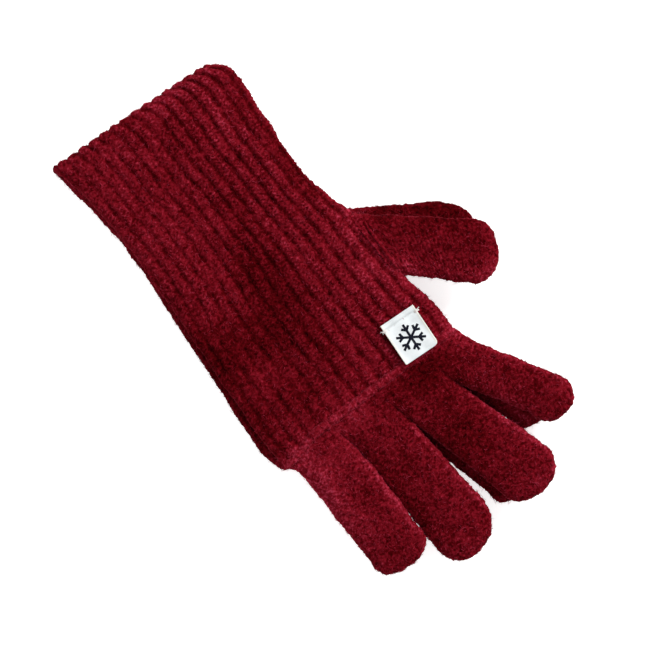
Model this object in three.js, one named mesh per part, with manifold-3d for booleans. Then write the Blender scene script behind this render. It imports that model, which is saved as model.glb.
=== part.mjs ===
// A pair of knitted wool gloves, lying flat one on the other: the right glove on top with its back up,
// the left glove under it with its palm up. Each glove is a ribbed tube from the cuff to the knuckles,
// a linked seam, a plain-knit knuckle band, four fingers and a thumb, all hollow.
// Millimetres, +Z up, +Y from the cuff to the fingertips, thumbs towards -X.

import * as THREE from "three";
import { mergeVertices } from "three/addons/utils/BufferGeometryUtils.js";
import Module from "manifold-3d";

const wasm = await Module();
wasm.setup();

// Driving dimensions
const WALL = 2.6; // thickness of the knit
const HOLLOW = 5.2; // room between the two layers of a glove that lies flat
const THICK = 2 * WALL + HOLLOW; // one flat glove
const GAP = 0.3; // between pieces that touch
const EDGE_ROUND = 4; // how far a glove's folded edge is rounded
const ROUND_STEPS = 2;
const CURVE_STEPS = 2;
const TIP_STEPS = 10; // facets round a fingertip
const PAST = 12; // how far an outline runs on before its end is cut off
const WIDE = 100; // half the width of a block that cuts across the whole hand

// The hand's edges, in mm from the middle of the knuckle seam; both gloves share the thumb's side
const CUFF_Y = -157; // the cuff's edge, where it crosses the hand's middle line
const CUFF_SLOPE = -0.06; // the cuff's edge is a little out of square
const WELT = 4; // the knitted-on edge of the cuff
const SEAM = 2.6; // width of the linked seams
const THUMB_SIDE_X = -43; // the hand's side where the thumb opens into it
const THUMB_SIDE_Y = [-70, -27];
const CUFF_TO_THUMB = [[-38.5, -152], [-36.7, -128], [-36.2, -102], [-37.4, -84]];
const THUMB_TO_KNUCKLES = [[-45.8, -17], [-47.2, -6]];

// A digit is a hollow tube from its root line. root is the line's middle and fold its angle; both gloves
// fold there together. aside is the tube's shift along that line, and lean its own angle from +Y to -X.
const FINGERS = [
  {
    name: "index_finger", root: [-44.8, 18], fold: 30,
    right: { aside: 0, lean: 30, width: 19, length: 44.5 },
    left: { aside: 2.8, lean: 27.5, width: 18.4, length: 40.5 },
  },
  {
    name: "middle_finger", root: [-21.4, 17], fold: 16,
    right: { aside: 0, lean: 16, width: 24.6, length: 64 },
    left: { aside: 1.4, lean: 13.5, width: 23.8, length: 61 },
  },
  {
    name: "ring_finger", root: [3.7, 17], fold: 2,
    right: { aside: 0, lean: 2, width: 25.2, length: 65.6 },
    left: { aside: 0.4, lean: 2, width: 24.4, length: 64 },
  },
  {
    name: "little_finger", root: [29.5, 17], fold: 1,
    right: { aside: 0, lean: 1, width: 24.6, length: 53 },
    left: { aside: 4, lean: 1, width: 24, length: 50 },
  },
];
const THUMB = {
  name: "thumb", root: [THUMB_SIDE_X - SEAM / 2 - 2 * GAP, -47.8], fold: 90,
  right: { aside: 0, lean: 50, width: 28.4, length: 49.5 },
  left: { aside: -2.5, lean: 54, width: 28, length: 46 },
};

// What differs between the gloves: the left one lies spread a little past the right one's outer edge
const RIGHT = {
  side: "right",
  knucklesToCuff: [[46.8, -9], [46.2, -30], [44.4, -60], [43, -90], [42.7, -120], [47, -152]],
  bandOuterEdge: [44, 6],
};
const LEFT = {
  side: "left",
  knucklesToCuff: [[50, -9], [49.2, -30], [46.7, -60], [44.5, -90], [43.6, -120], [48.4, -152]],
  bandOuterEdge: [48.4, 6],
};
const BAND_THUMB_SIDE = [-48.2, 6];

// The woven label on the back of the right glove: its end nearest the cuff is sewn down with two tacks
const LABEL = { middle: [-30.8, -9.6], tilt: -3, width: 17.2, length: 20.4, thick: 0.8, corner: 1.2 };
const SEWN_END = 4.2;
const TACK = { radius: 0.35, length: 3, from_end: 2.6, sides: 8 };

const wool = new THREE.MeshStandardMaterial({ color: 0x6a1019, roughness: 0.95, metalness: 0 });
const seamYarn = new THREE.MeshStandardMaterial({ color: 0x7b1826, roughness: 0.95, metalness: 0 });
const tape = new THREE.MeshStandardMaterial({ color: 0xe9edec, roughness: 0.75, metalness: 0 });
const thread = new THREE.MeshStandardMaterial({ color: 0xf4efe9, roughness: 0.6, metalness: 0 });

// A closed three.js geometry as a manifold-3d solid, and back
function toSolid(geometry) {
  const bare = geometry.clone();
  bare.deleteAttribute("normal");
  bare.deleteAttribute("uv");
  const merged = mergeVertices(bare, 1e-4);
  const triVerts = merged.index.array;
  const vertProperties = merged.attributes.position.array;
  return new wasm.Manifold(new wasm.Mesh({ numProp: 3, vertProperties, triVerts }));
}

function toMesh(name, solid, material) {
  const { vertProperties, triVerts } = solid.getMesh();
  const geometry = new THREE.BufferGeometry()
    .setAttribute("position", new THREE.BufferAttribute(vertProperties, 3))
    .setIndex(new THREE.BufferAttribute(triVerts, 1));
  geometry.computeVertexNormals();
  const mesh = new THREE.Mesh(geometry, material);
  mesh.name = name;
  return mesh;
}

// A flat outline made solid between two heights, its edges rounded by round
function slab(shape, bottom, top, round = 0) {
  const geometry = new THREE.ExtrudeGeometry(shape, {
    depth: top - bottom - 2 * round,
    bevelEnabled: round > 0,
    bevelThickness: round,
    bevelSize: round,
    bevelOffset: -round,
    bevelSegments: ROUND_STEPS,
    curveSegments: CURVE_STEPS,
  });
  return geometry.translate(0, 0, bottom + round);
}

function polygon(points) {
  return new THREE.Shape(points.map(([x, y]) => new THREE.Vector2(x, y)));
}

// A prism right through the glove, for cutting a piece out between two lines
function block(points) {
  return toSolid(slab(polygon(points), -PAST, THICK + PAST));
}

// The ribbed hand's outline, drawn in by inset, and run on past both of its ends
function handOutline({ knucklesToCuff }, inset) {
  const thumbSide = ([x, y]) => new THREE.Vector2(x + inset, y);
  const otherSide = ([x, y]) => new THREE.Vector2(x - inset, y);
  const [thumbLow, thumbHigh] = THUMB_SIDE_Y.map((y) => thumbSide([THUMB_SIDE_X, y]));
  const topLeft = thumbSide(THUMB_TO_KNUCKLES.at(-1));
  const topRight = otherSide(knucklesToCuff[0]);
  const cuffLeft = thumbSide(CUFF_TO_THUMB[0]);
  const cuffRight = otherSide(knucklesToCuff.at(-1));
  return new THREE.Shape()
    .moveTo(cuffLeft.x, cuffLeft.y - PAST - WELT)
    .lineTo(cuffLeft.x, cuffLeft.y)
    .splineThru([...CUFF_TO_THUMB.slice(1).map(thumbSide), thumbLow])
    .lineTo(thumbHigh.x, thumbHigh.y)
    .splineThru(THUMB_TO_KNUCKLES.map(thumbSide))
    .lineTo(topLeft.x, PAST)
    .lineTo(topRight.x, PAST)
    .lineTo(topRight.x, topRight.y)
    .splineThru(knucklesToCuff.slice(1).map(otherSide))
    .lineTo(cuffRight.x, cuffRight.y - PAST - WELT);
}

function hollowHand(hand) {
  const outside = toSolid(slab(handOutline(hand, 0), 0, THICK, EDGE_ROUND));
  return outside.subtract(toSolid(slab(handOutline(hand, WALL), WALL, THICK - WALL)));
}

// The glove between two lines across it, each given as its height at x = 0 and its slope
function across(low, high, lowSlope = 0, highSlope = 0) {
  return block([
    [-WIDE, low - WIDE * lowSlope],
    [WIDE, low + WIDE * lowSlope],
    [WIDE, high + WIDE * highSlope],
    [-WIDE, high - WIDE * highSlope],
  ]);
}

// One glove's own digit: where its middle crosses its root line, and its fold, lean, width and length
function digitOf({ name, root, fold, ...own }, side) {
  const angle = THREE.MathUtils.degToRad(fold);
  const { aside, lean, width, length } = own[side];
  const start = [root[0] + aside * Math.cos(angle), root[1] + aside * Math.sin(angle)];
  return { name, start, fold, lean, width, length };
}

function placed(geometry, [x, y], degrees) {
  return geometry.rotateZ(THREE.MathUtils.degToRad(degrees)).translate(x, y, 0);
}

// A digit along +Y from its root, before it is leaned and moved to the hand
function digitOutline({ width, length }, inset, back) {
  const half = width / 2 - inset;
  const tip = length - width / 2;
  const outline = [[half, -back], [half, tip]];
  for (let i = 1; i < TIP_STEPS; i += 1) {
    const angle = (Math.PI * i) / TIP_STEPS;
    outline.push([half * Math.cos(angle), tip + half * Math.sin(angle)]);
  }
  outline.push([-half, tip], [-half, -back]);
  return polygon(outline);
}

function digitOutside(digit, back) {
  const whole = slab(digitOutline(digit, 0, back), 0, THICK, EDGE_ROUND);
  return toSolid(placed(whole, digit.start, digit.lean));
}

function digitInside(digit, back) {
  const whole = slab(digitOutline(digit, WALL, back), WALL, THICK - WALL);
  return toSolid(placed(whole, digit.start, digit.lean));
}

// Everything past a digit's root line, moved forward along its fold by forward
function pastRoot({ start, fold }, forward) {
  const ahead = polygon([[-WIDE, forward], [WIDE, forward], [WIDE, WIDE], [-WIDE, WIDE]]);
  return toSolid(placed(slab(ahead, -PAST, THICK + PAST), start, fold));
}

function digitTube(digit) {
  return digitOutside(digit, PAST * 2).subtract(digitInside(digit, PAST * 2));
}

// The ends of a finger's root line
function rootEnds({ start, fold, lean, width }) {
  const angle = THREE.MathUtils.degToRad(fold);
  const half = width / 2 / Math.cos(THREE.MathUtils.degToRad(lean - fold));
  const side = [Math.cos(angle) * half, Math.sin(angle) * half];
  return [-1, 1].map((end) => [start[0] + end * side[0], start[1] + end * side[1]]);
}

// The plain-knit band between the seam and the fingers, open from the hand into every finger
function knuckleBand({ knucklesToCuff, bandOuterEdge }, fingers) {
  const low = SEAM / 2 + GAP;
  const roots = fingers.flatMap(rootEnds);
  const thumbSideX = THUMB_TO_KNUCKLES.at(-1)[0];
  const outerX = knucklesToCuff[0][0] - 1;
  const thumbSide = (inset) => [
    [thumbSideX + inset, -PAST],
    [thumbSideX + inset, 0],
    [BAND_THUMB_SIDE[0] + inset, BAND_THUMB_SIDE[1]],
  ];
  const outerSide = (inset) => [
    [bandOuterEdge[0] - inset, bandOuterEdge[1]],
    [outerX - inset, 0],
    [outerX - inset, -PAST],
  ];
  const ahead = [roots[0], [roots[0][0], PAST * 3], [roots.at(-1)[0], PAST * 3], roots.at(-1)];
  const outline = [...thumbSide(0), ...ahead, ...outerSide(0)].reverse();
  const hollow = [...thumbSide(WALL), ...outerSide(WALL)].reverse();
  let inside = toSolid(slab(polygon(hollow), WALL, THICK - WALL));
  let kept = block([[-WIDE, low], ...roots, [WIDE, low]].reverse());
  for (const digit of fingers) {
    inside = inside.add(digitInside(digit, PAST));
    const room = slab(digitOutline(digit, -GAP, PAST), -PAST, THICK + PAST);
    const solidRoom = toSolid(placed(room, digit.start, digit.lean));
    kept = kept.subtract(solidRoom.intersect(pastRoot(digit, -GAP)));
  }
  return toSolid(slab(polygon(outline), 0, THICK, EDGE_ROUND)).intersect(kept).subtract(inside);
}

// One glove, lying on z = 0
function glove(hand) {
  const group = new THREE.Group();
  const add = (name, solid, material) => group.add(toMesh(`${hand.side}_${name}`, solid, material));
  const fingers = FINGERS.map((digit) => digitOf(digit, hand.side));
  const thumb = digitOf(THUMB, hand.side);
  const tube = hollowHand(hand);
  const weltTop = CUFF_Y + WELT;
  const ribbed = tube.intersect(across(weltTop + GAP, -SEAM / 2 - GAP, CUFF_SLOPE));
  add("cuff_welt", tube.intersect(across(CUFF_Y, weltTop, CUFF_SLOPE, CUFF_SLOPE)), seamYarn);
  add("ribbed_hand", ribbed.subtract(digitInside(thumb, PAST * 2)), wool);
  add("knuckle_seam", tube.intersect(across(-SEAM / 2, SEAM / 2)), seamYarn);
  add("knuckle_band", knuckleBand(hand, fingers), wool);
  for (const digit of fingers) add(digit.name, digitTube(digit).intersect(pastRoot(digit, 0)), wool);

  // The thumb's tube is cut along the hand's side, and its seam lies between the two
  const seamed = digitTube(thumb).intersect(pastRoot(thumb, -GAP - SEAM / 2));
  add("thumb_seam", seamed.subtract(pastRoot(thumb, -GAP)), seamYarn);
  add("thumb", seamed.intersect(pastRoot(thumb, 0)), wool);
  return group;
}

// The label's sewn end and its free flap bend where they meet
function label() {
  const group = new THREE.Group();
  const { width, length, thick, corner } = LABEL;
  const half = width / 2;
  const end = polygon([[-half, 0], [half, 0], [half, SEWN_END - GAP], [-half, SEWN_END - GAP]]);
  const flap = new THREE.Shape()
    .moveTo(-half, SEWN_END)
    .lineTo(half, SEWN_END)
    .lineTo(half, length - corner)
    .quadraticCurveTo(half, length, half - corner, length)
    .lineTo(corner - half, length)
    .quadraticCurveTo(-half, length, -half, length - corner);
  group.add(toMesh("label_sewn_end", toSolid(slab(end, 0, thick)), tape));
  group.add(toMesh("label_flap", toSolid(slab(flap, 0, thick)), tape));
  for (const [name, x] of [["label_tack_thumb_side", -half], ["label_tack_outer_side", half]]) {
    const tack = new THREE.CylinderGeometry(TACK.radius, TACK.radius, TACK.length, TACK.sides);
    const mesh = toMesh(name, toSolid(tack), thread);
    mesh.rotation.z = Math.PI / 2;
    mesh.position.set(x, TACK.from_end, thick + GAP + TACK.radius);
    group.add(mesh);
  }
  const tilt = THREE.MathUtils.degToRad(LABEL.tilt);
  group.rotation.z = tilt;
  group.position.set(0, -length / 2, 0).applyAxisAngle(new THREE.Vector3(0, 0, 1), tilt);
  group.position.add(new THREE.Vector3(...LABEL.middle, THICK + GAP));
  return group;
}

const right = glove(RIGHT);
right.add(label());
right.position.z = THICK + GAP;

// The pair's origin is in the middle of its underside
const pair = new THREE.Group();
pair.add(right, glove(LEFT));
const centre = new THREE.Box3().setFromObject(pair, true).getCenter(new THREE.Vector3());
pair.position.set(-centre.x, -centre.y, 0);

export default pair;
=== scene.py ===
"""A pair of brushed wool gloves lying one on the other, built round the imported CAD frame.

Every knitted surface is a grid of points laid on the glove's base shape and then pushed out along its
normals by its knit: rib columns, stitches, and the lumps of brushed wool. Short loose fibres stand on it
as pieces of their own. Lengths are in millimetres in the glove's own frame, whose origin is the middle
of the knuckle seam, and place() turns them into metres in the shared frame.
"""

from itertools import product
from math import cos, pi, radians, sin

import bpy
import numpy as np
from mathutils import Matrix, Vector


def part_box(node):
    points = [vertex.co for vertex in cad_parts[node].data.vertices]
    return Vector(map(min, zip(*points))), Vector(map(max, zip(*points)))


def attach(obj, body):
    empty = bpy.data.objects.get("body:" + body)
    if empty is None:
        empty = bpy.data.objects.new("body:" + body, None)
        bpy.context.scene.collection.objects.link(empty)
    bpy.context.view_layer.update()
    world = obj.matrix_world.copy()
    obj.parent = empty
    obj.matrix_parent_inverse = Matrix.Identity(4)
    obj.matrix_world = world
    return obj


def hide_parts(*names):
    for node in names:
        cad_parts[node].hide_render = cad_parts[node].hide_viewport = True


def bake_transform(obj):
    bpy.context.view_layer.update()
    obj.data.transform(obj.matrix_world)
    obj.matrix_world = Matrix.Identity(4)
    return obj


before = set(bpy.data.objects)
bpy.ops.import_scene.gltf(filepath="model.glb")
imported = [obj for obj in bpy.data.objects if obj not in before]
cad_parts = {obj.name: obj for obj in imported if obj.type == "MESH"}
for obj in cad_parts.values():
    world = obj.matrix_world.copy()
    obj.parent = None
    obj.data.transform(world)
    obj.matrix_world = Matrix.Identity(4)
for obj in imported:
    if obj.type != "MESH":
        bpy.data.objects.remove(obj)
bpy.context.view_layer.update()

MM = 0.001
SEAM_LOW, SEAM_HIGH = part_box("right_knuckle_seam")
ORIGIN = np.array([(SEAM_LOW.x + SEAM_HIGH.x) / 2, (SEAM_LOW.y + SEAM_HIGH.y) / 2, 0]) / MM
THICK = (SEAM_HIGH.z - SEAM_LOW.z) / MM
HALF_THICK = THICK / 2 - 0.9  # half of one flat glove, before its knit is pushed out
FLOOR_GAP = 0.05  # room under the lowest wool
UP = np.array([0.0, 0.0, 1.0])
UV_SCALE = 0.01  # a millimetre of knit or tape in its UV map

# Camera: straight down, from far away, with the fingers towards the picture's lower right
CAMERA_TURN = 143.0
CAMERA_MIDDLE = (-4.3, -35.0)
CAMERA_HEIGHT = 1500.0
VIEW_WIDTH = 278.6
FOCUS_HEIGHT = 13.0

# The ribbed hand. RIB_WANDER is how far the ribs have moved over at places along it, in ribs, and the
# valley, the wales and the crease between them are given in ribs too.
RIBS = 30
RIB_COLUMNS = 10
RIB_WIDTH = 6.0
RIB_HEIGHT = 1.05
RIB_WANDER = [(-158, 0.1), (-150, 0.0), (-142, -0.1), (-132, -0.2), (-122, -0.18), (-112, 0.02), (-100, 0.07),
              (-82, 0.07), (-72, -0.2), (-62, -0.42), (-50, -0.47), (-30, -0.38), (-12, -0.5), (6, -0.5)]
RIB_VALLEY = 0.2
RIB_WALE = 0.36
RIB_CREASE = 0.09
CREASE_DEPTH = 0.16
RIB_WOBBLE = (7.0, 0.06)  # the size of the ribs' wobbles, and how far they reach
RIB_UNEVEN = (5.0, 0.45)  # the size of the patches where they stand higher or lower, and by how much
HAND_SECTION = (9, 3.4)  # half-width over half-thickness, and how boxy
ROW_STEP = 0.54

# The cuff's edge. On the thumb's side it steps up by CUFF_STEP, from CUFF_STEP_X over CUFF_STEP_RUN. The
# lip is the rows that turn it inside: how far in each is, and how far past the edge.
CUFF_Y = -155.8
CUFF_SLOPE = -0.045
CUFF_STEP, CUFF_STEP_X, CUFF_STEP_RUN = 0.9, -16, 12
CUFF_LIP = [(0.35, 0.5), (1.1, 0.9), (1.8, 0.6)]
CUFF_SCALLOP = 0.9  # how far the edge draws up between the ribs
CUFF_CALM = 0.35  # the ribs' share of height that is lost at the edge, and that is left on the lip
WELT = 4.0
WALL = 2.2
INNER_ROWS = 40
INNER_RELIEF = -0.15

# Plain knit
KNIT_STEP = 0.5
WALE = 2.1
COURSE = 1.75
STITCH_HEIGHT = 0.42
DIGIT_STITCHES = 1.4  # how much higher the stitches stand on the digits
TIP_CALM = 2.5  # how far from a digit's end they fade out
BAND_LENGTH = 17.0
BAND_TUCK = 1.5  # how far the knuckle band runs on under the seam

# The ridge along a finger's thumb side, where its knit folds over: height, place and width in half-widths
# of the finger, and the length over which it begins
EDGE_FOLD, EDGE_FOLD_AT, EDGE_FOLD_WIDE, EDGE_FOLD_RUN = 0.7, -0.9, 0.09, 10

# Lumps of brushed wool, each as its size and its height against LUMP_HEIGHT, then how much painted shade
# the clumps put on the wool, darker where they sink, and how strongly the painted light and shade is laid on
LUMP_HEIGHT = 0.5
CLUMPS = [(2.3, 0.55), (1.2, 0.6)]
SWELLS = (9.0, 1.1)
CLUMP_SHADE = 0.8
PAINTED_SHADE_STRENGTH = 1.5
LUMP_CELLS = 32  # random values along each side of the block that lumps() repeats
LUMP_START = 100  # the cell at the glove frame's origin

# Loose fibres, of three stretches each
FIBRE_DENSITY = 1.35  # on a square millimetre
FIBRE_ROOT = 0.2  # how deep in the knit they start
FIBRE_LENGTH = 1.5  # the mean
FIBRE_GRAIN = 1.1  # how strongly they follow the wales
FIBRE_CURL = 0.7
FIBRE_RISE = ((0.1, -0.2, -0.35), (0.55, 0.3, 0.3))  # least and greatest slope of each stretch
FIBRE_RADIUS = (0.04, 0.1)
FIBRE_TONES_AT = (0.3, 0.72)  # where among them the middling and the light ones begin
FIBRE_PAINTED_SHADE = 0.5  # how far the painted light and shade moves a fibre's tone
FIBRES_A_PIECE = 16000

# How much higher a finger stands on its little finger's side, and the lengths over which that begins and a
# digit thins
ROLLS = {"ring_finger": -0.7, "little_finger": -0.9}
ROLL_RUN = 14
THIN_RUN = 20

# Fingers from the thumb's side. The crotches are the points between them; edges give each digit's two
# sides where its rounded tip begins, then how far the tip reaches past them and how boxy it is at each.
TOP = {
    "side": "right",
    "middle_z": SEAM_LOW.z / MM + THICK / 2,
    "thumb_side": [(-157, -29), (-154.5, -33.8), (-152, -36.5), (-149, -38), (-145, -38.6), (-137, -38.8),
                   (-125, -37.8), (-108, -36.7), (-96, -36.6), (-86, -37.3), (-78, -39), (-69, -42.2),
                   (-50, -43.4), (-32, -44.3), (-20, -46.4), (-9, -47.9), (0, -47.4), (6, -47.2)],
    "outer_side": [(-158, 49), (-150, 47.1), (-132, 43.9), (-113, 42.9), (-95, 43.3), (-71, 44.2),
                   (-39, 45.9), (-9, 46.8), (0, 45.8), (6, 44.5)],
    "crotches": [(-51.5, 9.5), (-34.2, 18.5), (-8.4, 16.2), (16.3, 15.2), (42.2, 10)],
    "fingers": {
        "index_finger": {"edges": [(-73.0, 46.4), (-51.4, 47.8)], "reach": 11.2, "box": (2.25, 2.2)},
        "middle_finger": {"edges": [(-49.3, 65.8), (-21.4, 67.2)], "reach": 12.2, "box": (1.85, 2.4)},
        "ring_finger": {"edges": [(-13.5, 69), (15.2, 72)], "reach": 12.6, "box": (1.55, 2.6)},
        "little_finger": {"edges": [(15.4, 60.6), (41.4, 58.6)], "reach": 10.6, "box": (2.3, 2.6)},
    },
    "thumb": {"edges": [(-82.8, -32.2), (-67.1, -9.6)], "reach": 10.1, "box": (1.85, 2.0)},
    "thumb_root": [(-40.5, -67), (-41.5, -33.4)],
}
BOTTOM = {
    "side": "left",
    "middle_z": THICK / 2,
    "thumb_side": [(-157, -27), (-154.5, -31.8), (-152, -34.4), (-149, -36.2), (-145, -37), (-137, -37.4),
                   (-125, -36.6), (-108, -35.9), (-96, -35.7), (-86, -36.4), (-78, -38.2), (-69, -41.5),
                   (-50, -42.6), (-32, -43.1), (-20, -44.6), (-9, -45.4), (0, -45.2), (6, -44.8)],
    "outer_side": [(-158, 49.8), (-150, 48.5), (-138, 46.7), (-126, 45.7), (-113, 44.3), (-95, 44.9),
                   (-71, 46.6), (-47, 48.5), (-22, 50.4), (-9, 50.7), (0, 47.9), (6, 44.4)],
    "crotches": [(-46.5, 9.5), (-33.6, 18.9), (-4.4, 16.8), (16.6, 17.2), (42.9, 8.6)],
    "fingers": {
        "index_finger": {"edges": [(-66.4, 44), (-42.8, 45)], "reach": 9.8, "box": (2.3, 3.2)},
        "middle_finger": {"edges": [(-43.6, 65.5), (-17.1, 66)], "reach": 9.4, "box": (2.3, 2.7)},
        "ring_finger": {"edges": [(-10, 67), (15.4, 66.4)], "reach": 9.6, "box": (2.3, 2.6)},
        "little_finger": {"edges": [(18.4, 54), (40.2, 52)], "reach": 11.6, "box": (2.3, 2.3)},
    },
    "thumb": {"edges": [(-72.2, -50.2), (-56.9, -27.9)], "reach": 19.6, "box": (2.6, 2.4)},
    "thumb_root": [(-40.5, -69.7), (-41.5, -35)],
}

# Painted light and shade on the wool, lighter where ridges and edges catch the light, darker in hollows and
# in the label's shadow: place, how far along x and y, how much lighter. Along the knuckle seam, a painted
# highlight: how far from the seam, and how much.
PAINTED_SHADES = [
    (6, -64, 10, 17, -0.7), (20, -44, 19, 12, -0.5), (-2, -98, 8, 26, -0.2), (45, -46, 9, 34, -0.45),
    (26, -17, 20, 12, -0.3), (16, 6, 28, 7, 0.08), (-24, 8, 18, 7, -0.75), (-50, 4, 7, 7, 0.7),
    (-26, 34, 11, 24, -0.45), (-60, 34, 9, 16, -0.15), (8, 54, 8, 26, -0.15), (40, 26, 8, 30, 0.7),
    (-68, -49, 15, 10, -0.6), (-48, 48, 4, 16, 0.35), (-12, -155, 16, 6, 0.45), (-34, -62, 6, 30, 0.12),
    (32, -110, 14, 45, 0.12), (-38, -44, 8, 15, 0.25), (-78, -38, 9, 13, -0.45), (-74, -9, 8, 5, 0.6),
    (42, -4, 6, 3, -0.6), (-22, -37, 20, 14, 0.12), (24, -56, 16, 7, -0.15), (17.5, 38, 2.5, 26, 0.25),
    (11, 5, 6, 4, 0.35), (38, -57, 9, 8, -0.25), (13, 38, 2.5, 26, -0.4), (-34, -102, 4, 24, -0.5),
    (-24, -122, 6, 22, 0.2), (-52, -58, 7, 5, -0.6), (-48, -32, 5, 6, 0.5), (2, -30, 8, 10, -0.25),
]
SEAM_PAINTED_HIGHLIGHT = (2.4, 0.35)


# ---------------------------------------------------------------- numbers

def curve(points, at):
    """A smooth curve through (place, value) points, without overshoot."""
    x, y = np.array(points, float).T
    slopes = np.diff(y) / np.diff(x)
    same = slopes[:-1] * slopes[1:] > 0
    middle = np.where(same, 2 * slopes[:-1] * slopes[1:] / np.where(same, slopes[:-1] + slopes[1:], 1), 0)
    m = np.concatenate([[slopes[0]], middle, [slopes[-1]]])
    at = np.clip(at, x[0], x[-1])
    i = np.clip(np.searchsorted(x, at) - 1, 0, len(x) - 2)
    h = x[i + 1] - x[i]
    t = (at - x[i]) / h
    return ((2 * t**3 - 3 * t**2 + 1) * y[i] + (t**3 - 2 * t**2 + t) * h * m[i]
            + (3 * t**2 - 2 * t**3) * y[i + 1] + (t**3 - t**2) * h * m[i + 1])


def ease(t):
    """From 0 to 1 as t goes from 0 to 1, starting and ending gently."""
    t = np.clip(t, 0, 1)
    return t * t * (3 - 2 * t)


def lumps(points, size, seed):
    """Smooth random lumps of about that size, from -1 to 1."""
    grid = np.random.default_rng(seed).uniform(-1, 1, (LUMP_CELLS, LUMP_CELLS, LUMP_CELLS))
    p = points / size + LUMP_START
    i = np.floor(p).astype(int)
    f = ease(p - i)
    total = np.zeros(len(points))
    for corner in product((0, 1), repeat=3):
        weight = np.where(corner, f, 1 - f).prod(axis=1)
        cell = (i + corner) % LUMP_CELLS
        total += weight * grid[cell[:, 0], cell[:, 1], cell[:, 2]]
    return total


def unit(vectors):
    """Rows of vectors at length 1."""
    return vectors / np.maximum(np.linalg.norm(vectors, axis=1, keepdims=True), 1e-9)


def section(columns, ratio, power):
    """A closed flat oval of half-width 1 and half-thickness 1, evenly spaced by real length from its
    thumb-side edge over the top. ratio is its half-width over its half-thickness, and power how boxy."""
    samples = 4001
    angle = np.linspace(pi, -pi, samples)
    x = np.sign(np.cos(angle)) * np.abs(np.cos(angle)) ** (2 / power)
    z = np.sign(np.sin(angle)) * np.abs(np.sin(angle)) ** (2 / power)
    run = np.concatenate([[0], np.cumsum(np.hypot(np.diff(x) * ratio, np.diff(z)))])
    even = np.linspace(0, run[-1], columns, endpoint=False)
    return np.interp(even, run, x), np.interp(even, run, z)


def place(points):
    """Glove frame in millimetres to shared frame in metres."""
    return (np.asarray(points, float) + ORIGIN) * MM


def spot(x, y, z):
    """One glove-frame point as a vector in the shared frame."""
    return Vector(place((x, y, z)))


# ---------------------------------------------------------------- knit

def painted_shade(points):
    """How much lighter or darker the wool is painted at each point: painted light and shade."""
    px, py = points[:, 0], points[:, 1]
    seam_wide, seam_amount = SEAM_PAINTED_HIGHLIGHT
    # A painted highlight along the knuckle seam
    total = seam_amount * np.exp(-(((py - knuckle_y(px)) / seam_wide) ** 2))
    for x, y, wide, tall, amount in PAINTED_SHADES:
        total += amount * np.exp(-(((px - x) / wide) ** 2) - ((py - y) / tall) ** 2)
    return total


def plain_stitches(u, v):
    """Plain knit: columns of V-shaped stitches. u runs across the columns and v along them."""
    across = (u / WALE) % 1
    leg = np.abs(across - 0.5) * 2
    course = np.cos(2 * pi * (v / COURSE - 0.55 * leg))
    groove = np.sin(pi * np.clip(leg, 0, 1)) ** 0.6
    return 0.5 * groove * (1 + course) - 0.5


def rib_phase(column, y):
    """Where a column of the ribbed hand is within its rib, from 0 to 1. The ribs wander along the hand."""
    return (column * RIBS + curve(RIB_WANDER, y) + 0.35) % 1


def rib_valley(phase):
    """From 0 on a rib to 1 in the middle of the purl valley beside it."""
    return np.exp(-((np.minimum(phase, 1 - phase) / RIB_VALLEY) ** 2))


def ribs(phase, y):
    """Height of the ribs: ridges of two wales with a crease between them, and valleys beside them."""
    ridge = 1 - rib_valley(phase)
    leg = np.abs(((phase - 0.5) / RIB_WALE) % 1 - 0.5) * 2
    course = np.cos(2 * pi * (y / COURSE - 0.5 * leg))
    crease = np.exp(-(((phase - 0.52) / RIB_CREASE) ** 2))
    return RIB_HEIGHT * (ridge - 0.68) - CREASE_DEPTH * crease + STITCH_HEIGHT * ridge * course


def side_fade(height):
    """How much of the relief is left near a folded side. height is from -1 to 1 through the glove."""
    return 1 - 0.65 * ease((0.75 - np.abs(height)) / 0.6)


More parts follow.
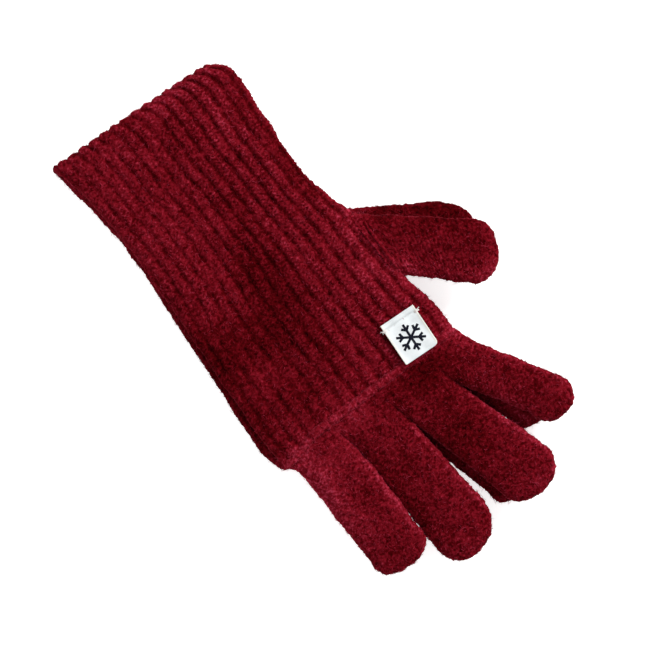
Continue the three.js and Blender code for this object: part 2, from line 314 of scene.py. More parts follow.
class Knit:
    """Grids of points joined into one surface, pushed out by their knit, then split into pieces."""

    def __init__(self, seed):
        self.seed = seed
        self.grids = []
        self.count = 0

    def grid(self, points, relief, uv, owner, closed=False, hairy_rows=None):
        """points is rows by columns by 3. owner names the piece of each row of faces, or of all. Loose
        fibres stand only on the first hairy_rows rows of faces, or on all."""
        rows, columns = points.shape[:2]
        index = np.arange(rows * columns).reshape(rows, columns) + self.count
        if closed:
            index = np.concatenate([index, index[:, :1]], 1)
            step = uv[:, -1:] - uv[:, -2:-1]
            uv = np.concatenate([uv, uv[:, -1:] + step], 1)
        corners = [index[:-1, :-1], index[:-1, 1:], index[1:, 1:], index[1:, :-1]]
        corner_uvs = [uv[:-1, :-1], uv[:-1, 1:], uv[1:, 1:], uv[1:, :-1]]
        owners = [owner] * (rows - 1) if isinstance(owner, str) else owner
        hairy = np.arange(rows - 1) < (rows if hairy_rows is None else hairy_rows)
        faces_a_row = index.shape[1] - 1
        self.grids.append((
            points.reshape(-1, 3),
            np.broadcast_to(relief, (rows, columns)).ravel(),
            np.stack(corners, -1).reshape(-1, 4),
            np.stack(corner_uvs, -2).reshape(-1, 4, 2),
            np.repeat(np.array(owners), faces_a_row),
            np.repeat(hairy, faces_a_row),
        ))
        self.count += rows * columns

    def shape(self):
        """Joins the grids, works out the normals and pushes the surface out by its relief and lumps."""
        joined = (np.concatenate(parts) for parts in zip(*self.grids))
        points, relief, faces, self.face_uvs, self.face_owner, self.face_hairy = joined
        keys = np.round(points / 0.002).astype(np.int64)
        _, first, same = np.unique(keys, axis=0, return_index=True, return_inverse=True)
        same = same.ravel()
        self.faces = same[faces]
        base = points[first]
        height = np.bincount(same, relief) / np.bincount(same)
        clumps = sum(share * lumps(base, size, self.seed + k) for k, (size, share) in enumerate(CLUMPS))
        size, share = SWELLS
        swells = share * lumps(base, size, self.seed + len(CLUMPS))
        push = height + LUMP_HEIGHT * (clumps + swells)
        self.points = base + self.normals(base) * push[:, None]
        self.points[:, 2] = np.maximum(self.points[:, 2], FLOOR_GAP)
        # The relief kept for colour: the knit's height, painted shade where the clumps sink, and the painted
        # light and shade
        self.relief = height + CLUMP_SHADE * LUMP_HEIGHT * clumps + PAINTED_SHADE_STRENGTH * painted_shade(base)

    def normals(self, points):
        """Each point's normal, with the joined surface's points at these places."""
        corners = points[self.faces]
        cross = np.cross(corners[:, 2] - corners[:, 0], corners[:, 3] - corners[:, 1])
        total = np.zeros_like(points)
        for k in range(4):
            for axis in range(3):
                total[:, axis] += np.bincount(self.faces[:, k], cross[:, axis], len(points))
        return unit(total)

    def piece(self, name, owner):
        """The faces of one owner as an object, its normals kept from the whole surface."""
        mine = self.face_owner == owner
        used, faces = np.unique(self.faces[mine], return_inverse=True)
        faces = faces.reshape(-1, 4)
        normals = self.normals(self.points)[used]
        return build(name, self.points[used], faces, self.face_uvs[mine], normals, self.relief[used])

    def fibres(self, name, owner, seed):
        """The loose fibres that stand on one owner's faces, as objects: thin curling spindles, each closed,
        that leave the knit at a slant and lie over it."""
        mine = self.faces[(self.face_owner == owner) & self.face_hairy]
        corners = self.points[mine]
        cross = np.cross(corners[:, 2] - corners[:, 0], corners[:, 3] - corners[:, 1]) / 2
        area = np.linalg.norm(cross, axis=1)
        rng = np.random.default_rng(seed)
        count = int(area.sum() * FIBRE_DENSITY)
        chosen = rng.choice(len(mine), count, p=area / area.sum())
        up = unit(cross[chosen])
        s, t = rng.uniform(0, 1, (2, count, 1))
        a, b, c, d = (corners[chosen, k] for k in range(4))
        start = (a * (1 - s) + b * s) * (1 - t) + (d * (1 - s) + c * s) * t
        wale = d - a
        wale *= rng.choice((-FIBRE_GRAIN, FIBRE_GRAIN), (count, 1)) / np.linalg.norm(wale, axis=1)[:, None]
        wild = rng.normal(0, 1, (count, 3)) + wale
        lie = unit(wild - up * (wild * up).sum(1, keepdims=True))
        across = np.cross(up, lie)
        step = rng.gamma(5, FIBRE_LENGTH / 15, (count, 1))
        curl = rng.normal(0, FIBRE_CURL, (count, 1))
        rise = rng.uniform(*FIBRE_RISE, (count, 3))[:, :, None]
        radius = rng.uniform(*FIBRE_RADIUS, (count, 1))
        stations = [start - up * FIBRE_ROOT]
        for k in range(3):
            forward = lie * np.cos(curl * k) + across * np.sin(curl * k)
            stations.append(stations[-1] + step * (forward + up * rise[:, k]))
        points, one = spindles(stations, across, up, radius)
        points[:, :, 2] = np.maximum(points[:, :, 2], FLOOR_GAP)
        # A fibre's tone is random, moved lighter or darker by the painted light and shade where it stands
        tones = np.digitize(rng.uniform(0, 1, count) + FIBRE_PAINTED_SHADE * painted_shade(start), FIBRE_TONES_AT)
        parts = int(np.ceil(count / FIBRES_A_PIECE))
        return [many(f"{name}_{k + 1}" if parts > 1 else name, points[k::parts], one, tones[k::parts])
                for k in range(parts)]


def spindles(stations, across, up, radius):
    """Thin closed bodies, pointed at both ends, each through four stations: the eight corners of every
    body, and the faces of one."""
    points = np.empty((len(radius), 8, 3))
    points[:, 0], points[:, 7] = stations[0], stations[3]
    for k in range(3):
        out = across * cos(2 * pi * k / 3) + up * sin(2 * pi * k / 3)
        points[:, 1 + k] = stations[1] + out * radius
        points[:, 4 + k] = stations[2] + out * radius * 0.8
    after = [(k, (k + 1) % 3) for k in range(3)]
    faces = [(0, 1 + b, 1 + a) for a, b in after]
    faces += [(1 + a, 1 + b, 4 + b, 4 + a) for a, b in after]
    faces += [(4 + a, 4 + b, 7) for a, b in after]
    return points, faces


def add(name, data):
    """A new object in the scene."""
    made = bpy.data.objects.new(name, data)
    bpy.context.scene.collection.objects.link(made)
    return made


def build(name, points, faces, uvs=None, normals=None, relief=None):
    """A smooth mesh object from millimetre points. A quad that repeats a corner becomes a triangle."""
    clean, flat = [], []
    for k, face in enumerate(faces.tolist()):
        kept = [c for c in range(len(face)) if face[c] != face[c - 1]]
        if len(kept) > 2:
            clean.append([face[c] for c in kept])
            flat.extend([] if uvs is None else uvs[k][kept].tolist())
    mesh = bpy.data.meshes.new(name)
    mesh.from_pydata(place(points).tolist(), [], clean)
    mesh.shade_smooth()
    if uvs is not None:
        layer = mesh.uv_layers.new(name="knit")
        layer.data.foreach_set("uv", (np.array(flat) * UV_SCALE).ravel())
    if relief is not None:
        attribute = mesh.attributes.new("relief", "FLOAT", "POINT")
        attribute.data.foreach_set("value", relief.astype(np.float32))
    if normals is not None:
        mesh.normals_split_custom_set_from_vertices(normals.tolist())
    return add(name, mesh)


def many(name, points, one, tones):
    """An object of many small closed bodies. points is bodies by corners by 3, one is a body's faces, and
    tones says which material each takes."""
    count, corners = points.shape[:2]
    sizes = np.array([len(face) for face in one])
    loops = np.concatenate([np.array(face) for face in one])
    every = (np.arange(count)[:, None] * corners + loops).ravel()
    mesh = bpy.data.meshes.new(name)
    mesh.vertices.add(count * corners)
    mesh.vertices.foreach_set("co", place(points.reshape(-1, 3)).ravel())
    mesh.loops.add(len(every))
    mesh.loops.foreach_set("vertex_index", every)
    starts = np.concatenate([[0], np.cumsum(sizes)[:-1]])
    mesh.polygons.add(count * len(one))
    mesh.polygons.foreach_set("loop_start", (np.arange(count)[:, None] * len(loops) + starts).ravel())
    mesh.polygons.foreach_set("material_index", np.repeat(tones, len(one)))
    mesh.update(calc_edges=True)
    mesh.shade_smooth()
    piece = add(name, mesh)
    for material in FIBRE_TONES:
        mesh.materials.append(material)
    return piece


# ---------------------------------------------------------------- base shapes

def hand_sides(glove, y):
    """Where the hand's thumb side and outer side are at y."""
    return curve(glove["thumb_side"], y), curve(glove["outer_side"], y)


def knuckle_y(x):
    """The knuckle seam runs straight across and rises towards the little finger."""
    return 4.0 * ease((x - 24) / 22)


def sag(x, y):
    """The soft hollows and swells of an empty hand lying flat, where it is 5 thick above its middle."""
    hollow = np.exp(-(((x - 18 - 0.35 * (y + 45)) / 15) ** 2) - ((y + 45) / 26) ** 2)
    swell = np.exp(-(((x - 30) / 12) ** 2) - ((y + 78) / 22) ** 2)
    return -1.5 * hollow + 0.8 * swell + 0.5 * np.sin(x / 17 + y / 29)


def hand_grid(glove):
    """The ribbed tube: outside from the knuckles to the cuff, round its edge, and back up inside. Also
    gives how many of its rows show."""
    columns = RIBS * RIB_COLUMNS
    outer_rows = int(-CUFF_Y / ROW_STEP)
    along = np.linspace(0, 1, outer_rows)
    x, z = section(columns, *HAND_SECTION)
    column = np.arange(columns) / columns

    def ring(share, inset):
        low, high = hand_sides(glove, CUFF_Y * share)
        half = (high - low) / 2 - inset
        px = (low + high) / 2 + x * half
        top = knuckle_y(px)
        rim = CUFF_Y + CUFF_SLOPE * px + CUFF_STEP * ease((CUFF_STEP_X - px) / CUFF_STEP_RUN)
        py = top + (rim - top) * share
        thick = HALF_THICK - inset
        pz = glove["middle_z"] + z * thick + sag(px, py) * (z > 0) * np.abs(z) ** 2 * (thick / 5)
        return np.stack([px, py, pz], -1)

    outside = [ring(share, 0) for share in along]
    lip = [ring(1, inset) - np.array([0, past, 0]) for inset, past in CUFF_LIP]
    inside = [ring(share, WALL) for share in np.linspace(1, 0.012, INNER_ROWS)]
    points = np.array(outside + lip + inside)
    shown = outer_rows + len(lip)
    lip_rows = slice(outer_rows, shown)

    phase = rib_phase(column[None, :], points[:, :, 1])
    flat = points.reshape(-1, 3)
    size, amount = RIB_WOBBLE
    phase = (phase + amount * lumps(flat, size, 3).reshape(phase.shape)) % 1
    size, amount = RIB_UNEVEN
    flatter = 0.4 * ease((flat[:, 0] + 15) / 35)  # towards the little finger's side
    strength = 1.05 + amount * lumps(flat, size, 4) - flatter
    relief = ribs(phase, points[:, :, 1]) * strength.reshape(phase.shape)
    valley = rib_valley(phase)
    edge = ease((along - 0.985) / 0.015)[:, None]  # 1 at the cuff's edge
    points[:outer_rows, :, 1] += CUFF_SCALLOP * edge * valley[:outer_rows]
    points[lip_rows, :, 1] += CUFF_SCALLOP * valley[lip_rows]
    relief[:outer_rows] *= (1 - CUFF_CALM * edge) * side_fade(z)
    relief[lip_rows] *= CUFF_CALM
    relief[shown:] *= INNER_RELIEF
    u = np.broadcast_to(column * RIBS * RIB_WIDTH, points.shape[:2])
    uv = np.stack([u, points[:, :, 1]], -1)

    welt_start = outer_rows - int(WELT / ROW_STEP)
    welt_end = shown + 1 + int(WELT / (-CUFF_Y / (INNER_ROWS - 1)))
    owners = ["cuff_welt" if welt_start <= row < welt_end else "ribbed_hand"
              for row in range(len(points) - 1)]
    return points[:, ::-1], relief[:, ::-1], uv[:, ::-1], owners, shown


def digit_rings(glove, root, spec, x, z, roll, thin):
    """A digit's rings from its root to the end of its tip, and how far each is along the digit. x and z
    are its section. Its little finger's side stands roll higher, and it thins to thin of its thickness."""
    a, b, c, d = (np.array((*p, 0.0)) for p in (*root, *spec["edges"]))
    length = np.linalg.norm((c + d) / 2 - (a + b) / 2)
    forward = np.cross(UP, d - c)
    forward /= np.linalg.norm(forward)
    rings, travel = [], []
    for share in np.linspace(0, 1, max(int(length / KNIT_STEP), 8), endpoint=False):
        middle = (a + (c - a) * share + b + (d - b) * share) / 2
        across = (b + (d - b) * share - a - (c - a) * share) / 2
        ring = middle + x[:, None] * across
        thick = HALF_THICK * (1 + (thin - 1) * ease(share * length / THIN_RUN))
        ring[:, 2] = glove["middle_z"] + z * thick + roll * ease(share * length / ROLL_RUN) * x
        rings.append(ring)
        travel.append(share * length)
    reach = spec["reach"]
    low_box, high_box = spec["box"]
    box = low_box + (high_box - low_box) * (x + 1) / 2
    tip_rows = int(reach / KNIT_STEP * 1.25)
    for k in range(tip_rows + 1):
        angle = pi / 2 * k / tip_rows
        wide = max(cos(angle), 0.0) ** (2 / box)
        far = reach * sin(angle) ** (2 / box)
        ring = (c + d) / 2 + forward * far[:, None] + (x * wide)[:, None] * (d - c) / 2
        ring[:, 2] = glove["middle_z"] + z * HALF_THICK * thin * wide ** 0.8 + roll * x * wide
        rings.append(ring)
        travel.append(length + reach * sin(angle))
    return np.array(rings), np.array(travel)


def digit_grid(knit, glove, name, root, spec, power, thin=1.0):
    """Adds a digit to knit. Gives its root's ring, and how far round the digit each of its points is."""
    half = np.linalg.norm(np.subtract(*spec["edges"])) / 2
    round_it = 4 * half + 3.2 * HALF_THICK  # about the length of its section
    columns = 4 * int(round_it / KNIT_STEP / 4)
    x, z = section(columns, half / HALF_THICK, power)
    rings, travel = digit_rings(glove, root, spec, x, z, ROLLS.get(name, 0.0), thin)
    u = np.arange(columns) / columns * WALE * round(round_it / WALE)
    uv = np.stack(np.broadcast_arrays(u[None, :], travel[:, None]), -1)
    relief = DIGIT_STITCHES * STITCH_HEIGHT * plain_stitches(uv[..., 0], uv[..., 1])
    relief *= side_fade(z)
    if name != "thumb":
        fold = np.exp(-(((x - EDGE_FOLD_AT) / EDGE_FOLD_WIDE) ** 2)) * (z > 0)
        relief += EDGE_FOLD * fold * ease(travel / EDGE_FOLD_RUN)[:, None]
    relief *= 1 - ease((travel - travel[-1] + TIP_CALM) / TIP_CALM)[:, None]
    knit.grid(rings, relief, uv, name, closed=True)
    return rings[0], u


def band_grid(knit, glove, bases):
    """The plain band from the seam to the fingers, whose grooves start between the fingers. bases are what
    digit_grid gives for each finger."""
    low, high = hand_sides(glove, 0.0)
    power = HAND_SECTION[1]
    step = np.linspace(0, 1, int(BAND_LENGTH / KNIT_STEP))[:, None]
    widths = [np.linalg.norm(ring[0] - ring[len(ring) // 2]) for ring, _ in bases]
    done = 0.0
    for (ring, u), width in zip(bases, widths):
        columns = len(ring)
        middle = columns // 2
        left = ring[0, :2]
        chord = ring[middle, :2] - left
        for side, half in ((1, np.arange(middle + 1)), (-1, np.arange(middle, columns + 1) % columns)):
            end = ring[half]
            share = (end[:, :2] - left) @ chord / (chord @ chord)
            across = (done + share * width) / sum(widths)
            start_x = low + (high - low) * across
            arch = (1 - np.minimum(np.abs(2 * across - 1), 1) ** power) ** (1 / power)
            start_z = glove["middle_z"] + side * HALF_THICK * arch
            start = np.stack([start_x, knuckle_y(start_x) - BAND_TUCK, start_z], -1)
            grid = start + (end - start) * step[:, :, None]
            grid[:, :, 2] = start_z + (end[:, 2] - start_z) * step ** 3
            around = np.where((half == 0) & (side < 0), u[-1] * 2 - u[-2], u[half])
            length = np.linalg.norm(end[:, :2] - start[:, :2], axis=1)
            uv = np.stack([np.broadcast_to(around, grid.shape[:2]), (step - 1) * length], -1)
            calm = ease(np.minimum(share, 1 - share) / 0.06)
            relief = STITCH_HEIGHT * plain_stitches(uv[..., 0], uv[..., 1]) * calm
            knit.grid(grid, relief, uv, "knuckle_band")
        done += width


def linked_cord(path, out, radius, swell, sides):
    """A cord of linked stitches round a closed path of points, as rings and their UVs. out is the way out
    of the surface at each point, and swell how much each link adds to the radius."""
    along = np.roll(path, -1, 0) - np.roll(path, 1, 0)
    along /= np.linalg.norm(along, axis=1, keepdims=True)
    side = np.cross(along, out)
    side /= np.linalg.norm(side, axis=1, keepdims=True)
    turn = (np.arange(sides) * 2 * pi / sides)[None, :, None]
    ring = side[:, None] * np.cos(turn) + np.cross(side, along)[:, None] * np.sin(turn)
    run = np.concatenate([[0], np.cumsum(np.linalg.norm(np.diff(path, axis=0), axis=1))])
    links = run / run[-1] * round(run[-1] / WALE)
    radius = radius + swell * np.abs(np.sin(pi * links)) ** 0.7
    rings = path[:, None] + ring * radius[:, None, None]
    rings = np.concatenate([rings, rings[:1]])
    u = np.append(links, links[-1])[:, None] * WALE
    uv = np.stack(np.broadcast_arrays(u, np.arange(float(sides))), -1)
    return rings[:, ::-1], uv[:, ::-1]


def seam_grid(knit, glove):
    """The seam round the knuckles: a raised soft welt of linked stitches that closes on itself."""
    count, sides = 720, 10
    low, high = hand_sides(glove, 0.0)
    x, z = section(count, *HAND_SECTION)
    px = (low + high) / 2 + x * ((high - low) / 2 - 1.2)
    lean = np.abs(z) ** 2
    path = np.stack([px, knuckle_y(px), glove["middle_z"] + z * (HALF_THICK - 0.15 * lean)], -1)
    along = np.roll(path, -1, 0) - np.roll(path, 1, 0)
    out = np.cross(np.array([0, 1.0, 0]), along)
    out /= np.linalg.norm(out, axis=1, keepdims=True)
    out *= np.sign((out * (path - [(low + high) / 2, 0, glove["middle_z"]])).sum(1))[:, None]
    rings, uv = linked_cord(path, out, 0.85 + 0.7 * lean, 0.18, sides)
    knit.grid(rings, np.full(rings.shape[:2], 0.25), uv, "knuckle_seam", closed=True)


def thumb_seam(glove, seed):
    """The seam round the thumb's root, a thin cord of linked stitches a little way along the thumb."""
    count, sides = 240, 8
    share = 0.09  # of the way from the root to the tip
    half_width, half_thick = 0.475, 0.98  # against the thumb's width there and HALF_THICK
    a, b, c, d = (np.array((*p, 0.0)) for p in (*glove["thumb_root"], *glove["thumb"]["edges"]))
    left, right = a + (c - a) * share, b + (d - b) * share
    x, z = section(count, 3, 2.4)
    path = (left + right) / 2 + x[:, None] * (right - left) * half_width
    path[:, 2] = glove["middle_z"] + z * (HALF_THICK * half_thick)
    out = np.stack([x * (right - left)[0] / 2, x * (right - left)[1] / 2, z * HALF_THICK * 2], -1)
    out /= np.linalg.norm(out, axis=1, keepdims=True)
    rings, uv = linked_cord(path, out, 0.55, 0.2, sides)
    knit = Knit(seed)
    knit.grid(rings, 0.0, uv, "thumb_seam", closed=True)
    knit.shape()
    still_piece(knit, glove["side"], "thumb_seam")


# ---------------------------------------------------------------- pieces

def dress(piece, material, nodes):
    """Gives a piece its material and slot, and has it stand for CAD nodes."""
    piece.data.materials.append(material)
    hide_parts(*nodes)


def knit_piece(knit, side, node):
    """A node's knit, which stands for its CAD solid."""
    piece = knit.piece(f"{side}_{node}_knit", node)
    dress(piece, WOOL, [f"{side}_{node}"])
    return piece


def still_piece(knit, side, node, fibre_seed=None):
    """A node's knit, and its loose fibres where a seed is given, which stay with the hand."""
    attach(knit_piece(knit, side, node), f"{side}_glove")
    if fibre_seed is not None:
        for fuzz in knit.fibres(f"{side}_{node}_fibres", node, fibre_seed):
            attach(fuzz, f"{side}_glove")


def bending_piece(knit, glove, digit, root, spec, fibre_seed):
    """A digit's knit and its loose fibres, with their transforms baked into their meshes."""
    side = glove["side"]
    piece = knit_piece(knit, side, digit)
    fuzz = knit.fibres(f"{side}_{digit}_fibres", digit, fibre_seed)
    a, b, c, d = (np.array(p) for p in (*root, *spec["edges"]))
    forward = (c + d) / 2 - (a + b) / 2
    forward /= np.linalg.norm(forward)
    for part in (piece, *fuzz):
        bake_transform(part)


def glove_pieces(glove, seed):
    """One glove: its ribbed tube, knuckle seam, band and fingers, and thumb, each knitted by itself."""
    side = glove["side"]
    hand = Knit(seed)
    points, relief, uv, owners, shown = hand_grid(glove)
    hand.grid(points, relief, uv, owners, closed=True, hairy_rows=shown)
    hand.shape()
    still_piece(hand, side, "ribbed_hand", seed)
    still_piece(hand, side, "cuff_welt", seed)

    ridge = Knit(seed + 5)
    seam_grid(ridge, glove)
    ridge.shape()
    still_piece(ridge, side, "knuckle_seam", seed + 5)

    front = Knit(seed + 10)
    fingers = [(name, glove["crotches"][k:k + 2], spec)
               for k, (name, spec) in enumerate(glove["fingers"].items())]
    bases = [digit_grid(front, glove, *finger, power=2.5) for finger in fingers]
    band_grid(front, glove, bases)
    front.shape()
    still_piece(front, side, "knuckle_band", seed + 10)
    for k, finger in enumerate(fingers):
        bending_piece(front, glove, *finger, seed + 11 + k)

    thumb = Knit(seed + 20)
    digit_grid(thumb, glove, "thumb", glove["thumb_root"], glove["thumb"], power=2.4, thin=0.96)
    thumb.shape()
    bending_piece(thumb, glove, "thumb", glove["thumb_root"], glove["thumb"], seed + 20)
    thumb_seam(glove, seed + 30)


# ---------------------------------------------------------------- label

LABEL = {"middle": (-30.7, -9.3), "tilt": -3.0, "width": 16.8, "length": 19.9, "thick": 0.45}
LABEL_CORNERS = (2.0, 0.5)  # how far its free end's corners are rounded: the thumb's side, the other
LABEL_LIFT = 0.85  # how far its underside lies above the shell that the knit is pushed out from
SEWN_AT = 3.0
SELVEDGE, HEM = 0.1, 0.3  # how much thicker its sides and its turned-in end are


def label_height(x, y):
    """How the label lies: pressed down where it is sewn, and lifting a little towards its free end."""
    dip = -0.55 * np.exp(-(((y - SEWN_AT) / 0.9) ** 2))
    lift = 1.1 * ease((y - SEWN_AT) / (LABEL["length"] - SEWN_AT)) ** 1.4
    curl = 0.35 * (np.abs(x) / (LABEL["width"] / 2)) ** 4
    end = -0.5 * ease((1.2 - y) / 1.2)
    return dip + lift + curl + end + 0.12 * np.sin(x * 0.8 + y * 0.35)


def on_label(x, y, height):
    """A point of the label: x across it from its middle, y along it from its sewn end."""
    x, y = np.asarray(x, float), np.asarray(y, float)
    tilt = radians(LABEL["tilt"])
    along = y - LABEL["length"] / 2
    low = TOP["middle_z"] + HALF_THICK + LABEL_LIFT
    return np.stack([LABEL["middle"][0] + x * cos(tilt) - along * sin(tilt),
                     LABEL["middle"][1] + x * sin(tilt) + along * cos(tilt),
                     low + label_height(x, y) + height], -1)


def label_side(side, radius, y):
    """The label's edge on one side at each row, its corner at the free end rounded by radius."""
    into = np.clip((y - LABEL["length"] + radius) / radius, 0, 1)
    return side * (LABEL["width"] / 2 - radius * (1 - np.sqrt(1 - into ** 2)))


def label_blend(piece):
    """Bakes a label piece's transform into its mesh."""
    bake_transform(piece)


def label():
    """The woven label: a thin tape with one well-rounded corner, its motif and its sewing thread."""
    rows, columns = 62, 54
    y = np.linspace(0, LABEL["length"], rows)[:, None]
    share = np.linspace(-1, 1, columns)[None, :]
    left, right = (label_side(side, radius, y) for side, radius in zip((-1, 1), LABEL_CORNERS))
    x = (left + right) / 2 + share * (right - left) / 2
    y = np.broadcast_to(y, x.shape)
    thicker = SELVEDGE * ease((np.abs(share) - 0.88) / 0.05) + HEM * ease((2.5 - y) / 0.3)
    top = on_label(x, y, LABEL["thick"] + thicker)
    under = on_label(x, y, np.zeros_like(x))
    index = np.arange(rows * columns).reshape(rows, columns)
    upper = np.stack([index[:-1, :-1], index[:-1, 1:], index[1:, 1:], index[1:, :-1]], -1).reshape(-1, 4)
    lower = upper[:, ::-1] + rows * columns
    rim = np.concatenate([index[0, :-1], index[:-1, -1], index[-1, :0:-1], index[:0:-1, 0]])
    after = np.roll(rim, -1)
    around = np.stack([rim, rim + rows * columns, after + rows * columns, after], -1)
    faces = np.concatenate([upper, lower, around])
    flat = np.stack([x, y], -1).reshape(-1, 2)
    uvs = np.concatenate([flat, flat])[faces]
    piece = build("woven_label", np.concatenate([top.reshape(-1, 3), under.reshape(-1, 3)]), faces, uvs)
    dress(piece, TAPE, ["label_sewn_end", "label_flap"])
    label_blend(piece)
    motif()
    for node, side in (("label_tack_thumb_side", -1), ("label_tack_outer_side", 1)):
        tack(node, side)


def motif():
    """A plain six-armed snowflake, woven in dark thread: raised strokes that follow the label."""
    arm, fork, branch, wide, high, sunk = 6.4, 3.5, 2.3, 0.62, 0.13, -0.25
    centre_y = LABEL["length"] * 0.56
    strokes = []
    for k in range(6):
        angle = radians(60 * k + 90)
        forward = np.array([cos(angle), sin(angle)])
        strokes.append((np.zeros(2), forward * arm))
        for turn in (-50, 50):
            lean = np.array([cos(angle + radians(turn)), sin(angle + radians(turn))])
            strokes.append((forward * fork, forward * fork + lean * branch))
    steps = 10
    points, faces = [], []
    for start, end in strokes:
        first = len(points)
        along = (end - start) / np.linalg.norm(end - start)
        across = np.array([-along[1], along[0]]) * wide
        for i in range(steps + 1):
            middle = start + (end - start) * i / steps
            for edge, rise in ((-1, sunk), (-0.8, high), (0.8, high), (1, sunk)):
                x, y = middle + across * edge
                points.append(on_label(x, y + centre_y, LABEL["thick"] + rise))
        for base in range(first, first + 4 * steps, 4):
            faces += [(base + j, base + j + 1, base + j + 5, base + j + 4) for j in range(3)]
            faces.append((base + 3, base, base + 4, base + 7))
        last = first + 4 * steps
        faces.append((first + 3, first + 2, first + 1, first))
        faces.append((last, last + 1, last + 2, last + 3))
    piece = build("label_snowflake", np.array(points), np.array(faces)[:, ::-1])
    piece.data.materials.append(MOTIF_THREAD)
    label_blend(piece)


def tack(node, side):
    """A few turns of sewing thread over the label's edge, with a loose end."""
    rng = np.random.default_rng(7 + side)
    edge = side * LABEL["width"] / 2
    curve_data = bpy.data.curves.new(node, "CURVE")
    curve_data.dimensions = "3D"
    curve_data.bevel_depth = 0.13 * MM
    curve_data.bevel_resolution = 3
    for k in range(4):
        y = SEWN_AT + 0.28 * (k - 1.5)
        route = [(edge - side * 1.7, y, -0.1), (edge - side * 1.1, y + 0.05, 0.62),
                 (edge - side * 0.2, y, 0.75), (edge + side * 0.35, y - 0.1, 0.35),
                 (edge + side * 0.9, y + rng.uniform(-0.3, 0.3), -0.5)]
        spline_through(curve_data, route)
    far = rng.uniform(0.8, 1.1)
    loose = [(edge - side * 0.2, SEWN_AT, 0.5), (edge + side * 0.8, SEWN_AT - 0.2, 0.6),
             (edge + side * far, SEWN_AT - 0.9, 0.35), (edge + side * (far + 0.5), SEWN_AT - 0.6, -0.2)]
    spline_through(curve_data, loose)
    shape = bpy.data.objects.new(node, curve_data)
    mesh = bpy.data.meshes.new_from_object(shape)
    bpy.data.objects.remove(shape)
    mesh.shade_smooth()
    piece = add(f"{node}_thread", mesh)
    mesh.materials.clear()
    dress(piece, WHITE_THREAD, [node])
    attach(piece, "right_glove")


def spline_through(curve_data, route):
    """Adds a thread along a route given as x, y and height on the label."""
    spline = curve_data.splines.new("NURBS")
    spline.points.add(len(route) - 1)
    for point, (x, y, z) in zip(spline.points, route):
        point.co = (*place(on_label(x, y, LABEL["thick"] + z - 0.3)), 1)
    spline.order_u = 3
    spline.use_endpoint_u = True
    spline.resolution_u = 6


# ---------------------------------------------------------------- materials

def nodes_of(name):
    """A new material, its shader, a function that makes a node, and one that links two sockets."""
    material = bpy.data.materials.new(name)
    material.use_nodes = True
    tree = material.node_tree
    shader = tree.nodes["Principled BSDF"]

    def node(kind, **settings):
        made = tree.nodes.new(kind)
        for key, value in settings.items():
            if key in made.inputs:
                made.inputs[key].default_value = value
            else:
                setattr(made, key, value)
        return made

    return material, shader, node, tree.links.new


def set_inputs(made, values):
    """Sets a node's own sockets."""
    for key, value in values.items():
        made.inputs[key].default_value = value


def ramp(node, stops):
    """A colour ramp through (position, colour) stops."""
    made = node("ShaderNodeValToRGB")
    elements = made.color_ramp.elements
    while len(elements) < len(stops):
        elements.new(0.5)
    for element, (position, colour) in zip(elements, stops):
        element.position = position
        element.color = (*colour, 1)
    return made


def scaled_sum(node, link, value, share, rest):
    """value * share + rest, as a socket."""
    made = node("ShaderNodeMath", operation="MULTIPLY_ADD")
    made.inputs[1].default_value = share
    link(value, made.inputs[0])
    link(rest, made.inputs[2])
    return made.outputs[0]


def bumped(node, link, shader, height, strength, distance):
    """Gives the shader a bump from a height socket."""
    bump = node("ShaderNodeBump", Strength=strength, Distance=distance)
    link(height, bump.inputs["Height"])
    link(bump.outputs["Normal"], shader.inputs["Normal"])


def wool_material(name):
    """Brushed wool: painted shade between the stitches and wherever the relief is low, with tangled lighter
    strands over them.
    """
    material, shader, node, link = nodes_of(name)
    where = node("ShaderNodeTexCoord")
    # The relief attribute sets the colour: low places get painted shade, and it carries the painted light and
    # shade of painted_shade()
    relief = node("ShaderNodeAttribute", attribute_name="relief")
    height = node("ShaderNodeMapRange", **{"From Min": -1.2, "From Max": 0.9, "To Min": 0.0, "To Max": 0.5})
    link(relief.outputs["Fac"], height.inputs["Value"])
    total = height.outputs["Result"]
    strands = node("ShaderNodeTexNoise", noise_type="RIDGED_MULTIFRACTAL", Scale=420.0, Detail=3.0,
                   Roughness=0.6, Lacunarity=2.2, Distortion=0.9, Offset=0.95, Gain=1.6)
    clumps = node("ShaderNodeTexNoise", Scale=800.0, Detail=1.0, Roughness=0.5)
    patches = node("ShaderNodeTexNoise", Scale=70.0, Detail=2.0, Roughness=0.5)
    for texture, share in ((strands, 0.22), (clumps, 0.66), (patches, 0.3)):
        link(where.outputs["Object"], texture.inputs["Vector"])
        total = scaled_sum(node, link, texture.outputs["Fac"], share, total)
    spread = node("ShaderNodeMapRange", **{"From Min": 0.53, "From Max": 1.46})
    link(total, spread.inputs["Value"])
    colours = ramp(node, [(0.0, (0.02, 0.0002, 0.0006)), (0.35, (0.078, 0.0014, 0.003)),
                          (0.7, (0.2, 0.0064, 0.0145)), (1.0, (0.43, 0.035, 0.07))])
    link(spread.outputs["Result"], colours.inputs["Fac"])
    link(colours.outputs["Color"], shader.inputs["Base Color"])
    fuzz = node("ShaderNodeTexNoise", Scale=2300.0, Detail=4.0, Roughness=0.75, Distortion=0.8)
    link(where.outputs["Object"], fuzz.inputs["Vector"])
    tangle = scaled_sum(node, link, strands.outputs["Fac"], 0.8, fuzz.outputs["Fac"])
    bumped(node, link, shader, tangle, 0.4, 0.0004)
    set_inputs(shader, {"Roughness": 0.95, "Specular IOR Level": 0.0, "Sheen Weight": 0.35,
                        "Sheen Roughness": 0.35, "Sheen Tint": (0.9, 0.1, 0.15, 1)})
    return material


def fibre_material(name, colour):
    """Loose wool fibres: one colour to a fibre, so that each takes its tone from its own material."""
    material, shader, _, _ = nodes_of(name)
    set_inputs(shader, {"Base Color": (*colour, 1), "Roughness": 0.7, "Specular IOR Level": 0.05})
    return material


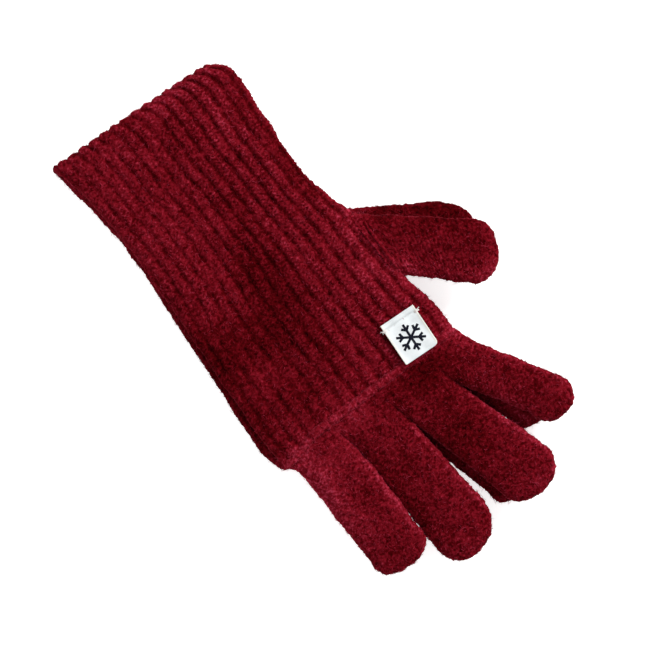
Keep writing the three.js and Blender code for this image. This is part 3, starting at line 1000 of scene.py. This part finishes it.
def tape_material():
    """Fine white woven tape: a plain weave of fine threads, a little grey where it is handled, with cream
    selvedges."""
    material, shader, node, link = nodes_of("woven_tape")
    where = node("ShaderNodeUVMap", uv_map="knit")
    weave = node("ShaderNodeMath", operation="MULTIPLY")
    for k, direction in enumerate(("X", "Y")):
        threads = node("ShaderNodeTexWave", wave_type="BANDS", bands_direction=direction, Scale=95.0,
                       Distortion=0.6)
        link(where.outputs["UV"], threads.inputs["Vector"])
        link(threads.outputs["Fac"], weave.inputs[k])
    grime = node("ShaderNodeTexNoise", Scale=25.0, Detail=4.0)
    link(where.outputs["UV"], grime.inputs["Vector"])
    colours = ramp(node, [(0.15, (0.56, 0.60, 0.61)), (0.5, (0.76, 0.80, 0.81))])
    link(scaled_sum(node, link, weave.outputs[0], 0.25, grime.outputs["Fac"]), colours.inputs["Fac"])
    parts = node("ShaderNodeSeparateXYZ")
    link(where.outputs["UV"], parts.inputs[0])
    off = node("ShaderNodeMath", operation="ABSOLUTE")
    link(parts.outputs["X"], off.inputs[0])
    edge = UV_SCALE * LABEL["width"] / 2
    selvedge = node("ShaderNodeMapRange", **{"From Min": 0.86 * edge, "From Max": 0.93 * edge})
    link(off.outputs[0], selvedge.inputs["Value"])
    tinted = node("ShaderNodeMix", data_type="RGBA")
    factor, white, cream = (tinted.inputs[k] for k in (0, 6, 7))  # the colour mix's own sockets
    cream.default_value = (0.8, 0.785, 0.73, 1)
    link(selvedge.outputs["Result"], factor)
    link(colours.outputs["Color"], white)
    link(tinted.outputs[2], shader.inputs["Base Color"])
    bumped(node, link, shader, weave.outputs[0], 0.5, 0.0001)
    set_inputs(shader, {"Roughness": 0.62, "Specular IOR Level": 0.35})
    return material


def thread_material(name, dark, light):
    """Twisted thread: light and dark along its twist."""
    material, shader, node, link = nodes_of(name)
    where = node("ShaderNodeTexCoord")
    twist = node("ShaderNodeTexNoise", Scale=3000.0, Detail=2.0)
    link(where.outputs["Object"], twist.inputs["Vector"])
    colours = ramp(node, [(0.3, dark), (0.7, light)])
    link(twist.outputs["Fac"], colours.inputs["Fac"])
    link(colours.outputs["Color"], shader.inputs["Base Color"])
    bumped(node, link, shader, twist.outputs["Fac"], 0.4, 0.0001)
    set_inputs(shader, {"Roughness": 0.7, "Specular IOR Level": 0.1})
    return material


# ---------------------------------------------------------------- stage

def camera():
    """A camera that looks straight down on the gloves."""
    lens = bpy.data.cameras.new("camera")
    view = add("camera", lens)
    lens.angle = 2 * np.arctan(VIEW_WIDTH / 2 / CAMERA_HEIGHT)
    lens.clip_end = 10
    turn = radians(CAMERA_TURN)
    right = Vector((cos(turn), sin(turn), 0))
    up = Vector((-sin(turn), cos(turn), 0))
    view.matrix_world = Matrix((right, up, (0, 0, 1))).transposed().to_4x4()
    view.location = spot(*CAMERA_MIDDLE, CAMERA_HEIGHT + FOCUS_HEIGHT)
    bpy.context.scene.camera = view


def light(name, towards, size, power, distance=1.6):
    """An area light shining on the gloves from the direction towards."""
    lamp = bpy.data.lights.new(name, "AREA")
    lamp.size = size
    lamp.energy = power
    made = add(name, lamp)
    direction = Vector(towards).normalized()
    made.location = direction * distance
    made.rotation_euler = direction.to_track_quat("Z", "Y").to_euler()


def stage():
    """A pale floor, a white studio and two soft lights."""
    material, shader, _, _ = nodes_of("pale_floor")
    set_inputs(shader, {"Base Color": (0.8, 0.8, 0.8, 1), "Roughness": 0.9,
                        "Emission Color": (1, 1, 1, 1), "Emission Strength": 0.7})
    mesh = bpy.data.meshes.new("floor")
    half = 3.0
    corners = [(-half, -half, 0), (half, -half, 0), (half, half, 0), (-half, half, 0)]
    mesh.from_pydata(corners, [], [(0, 1, 2, 3)])
    mesh.materials.append(material)
    add("floor", mesh)
    world = bpy.data.worlds.new("studio")
    bpy.context.scene.world = world
    world.use_nodes = True
    set_inputs(world.node_tree.nodes["Background"], {"Color": (1, 1, 1, 1), "Strength": 0.45})
    light("key", (-1.0, -0.15, 0.72), 0.6, 26)
    light("fill", (0.3, 0.2, 1.2), 1.5, 5)
    bpy.context.scene.view_settings.view_transform = "Standard"


camera()
stage()
WOOL = wool_material("brushed_wool")
FIBRE_TONES = [
    fibre_material("fibre_dark", (0.1, 0.0012, 0.0035)),
    fibre_material("fibre_middle", (0.22, 0.0068, 0.0165)),
    fibre_material("fibre_light", (0.4, 0.031, 0.066)),
]
TAPE = tape_material()
MOTIF_THREAD = thread_material("motif_thread", (0.002, 0.003, 0.008), (0.009, 0.011, 0.022))
WHITE_THREAD = thread_material("sewing_thread", (0.62, 0.55, 0.53), (0.9, 0.87, 0.84))
glove_pieces(TOP, 1)
glove_pieces(BOTTOM, 51)
label()
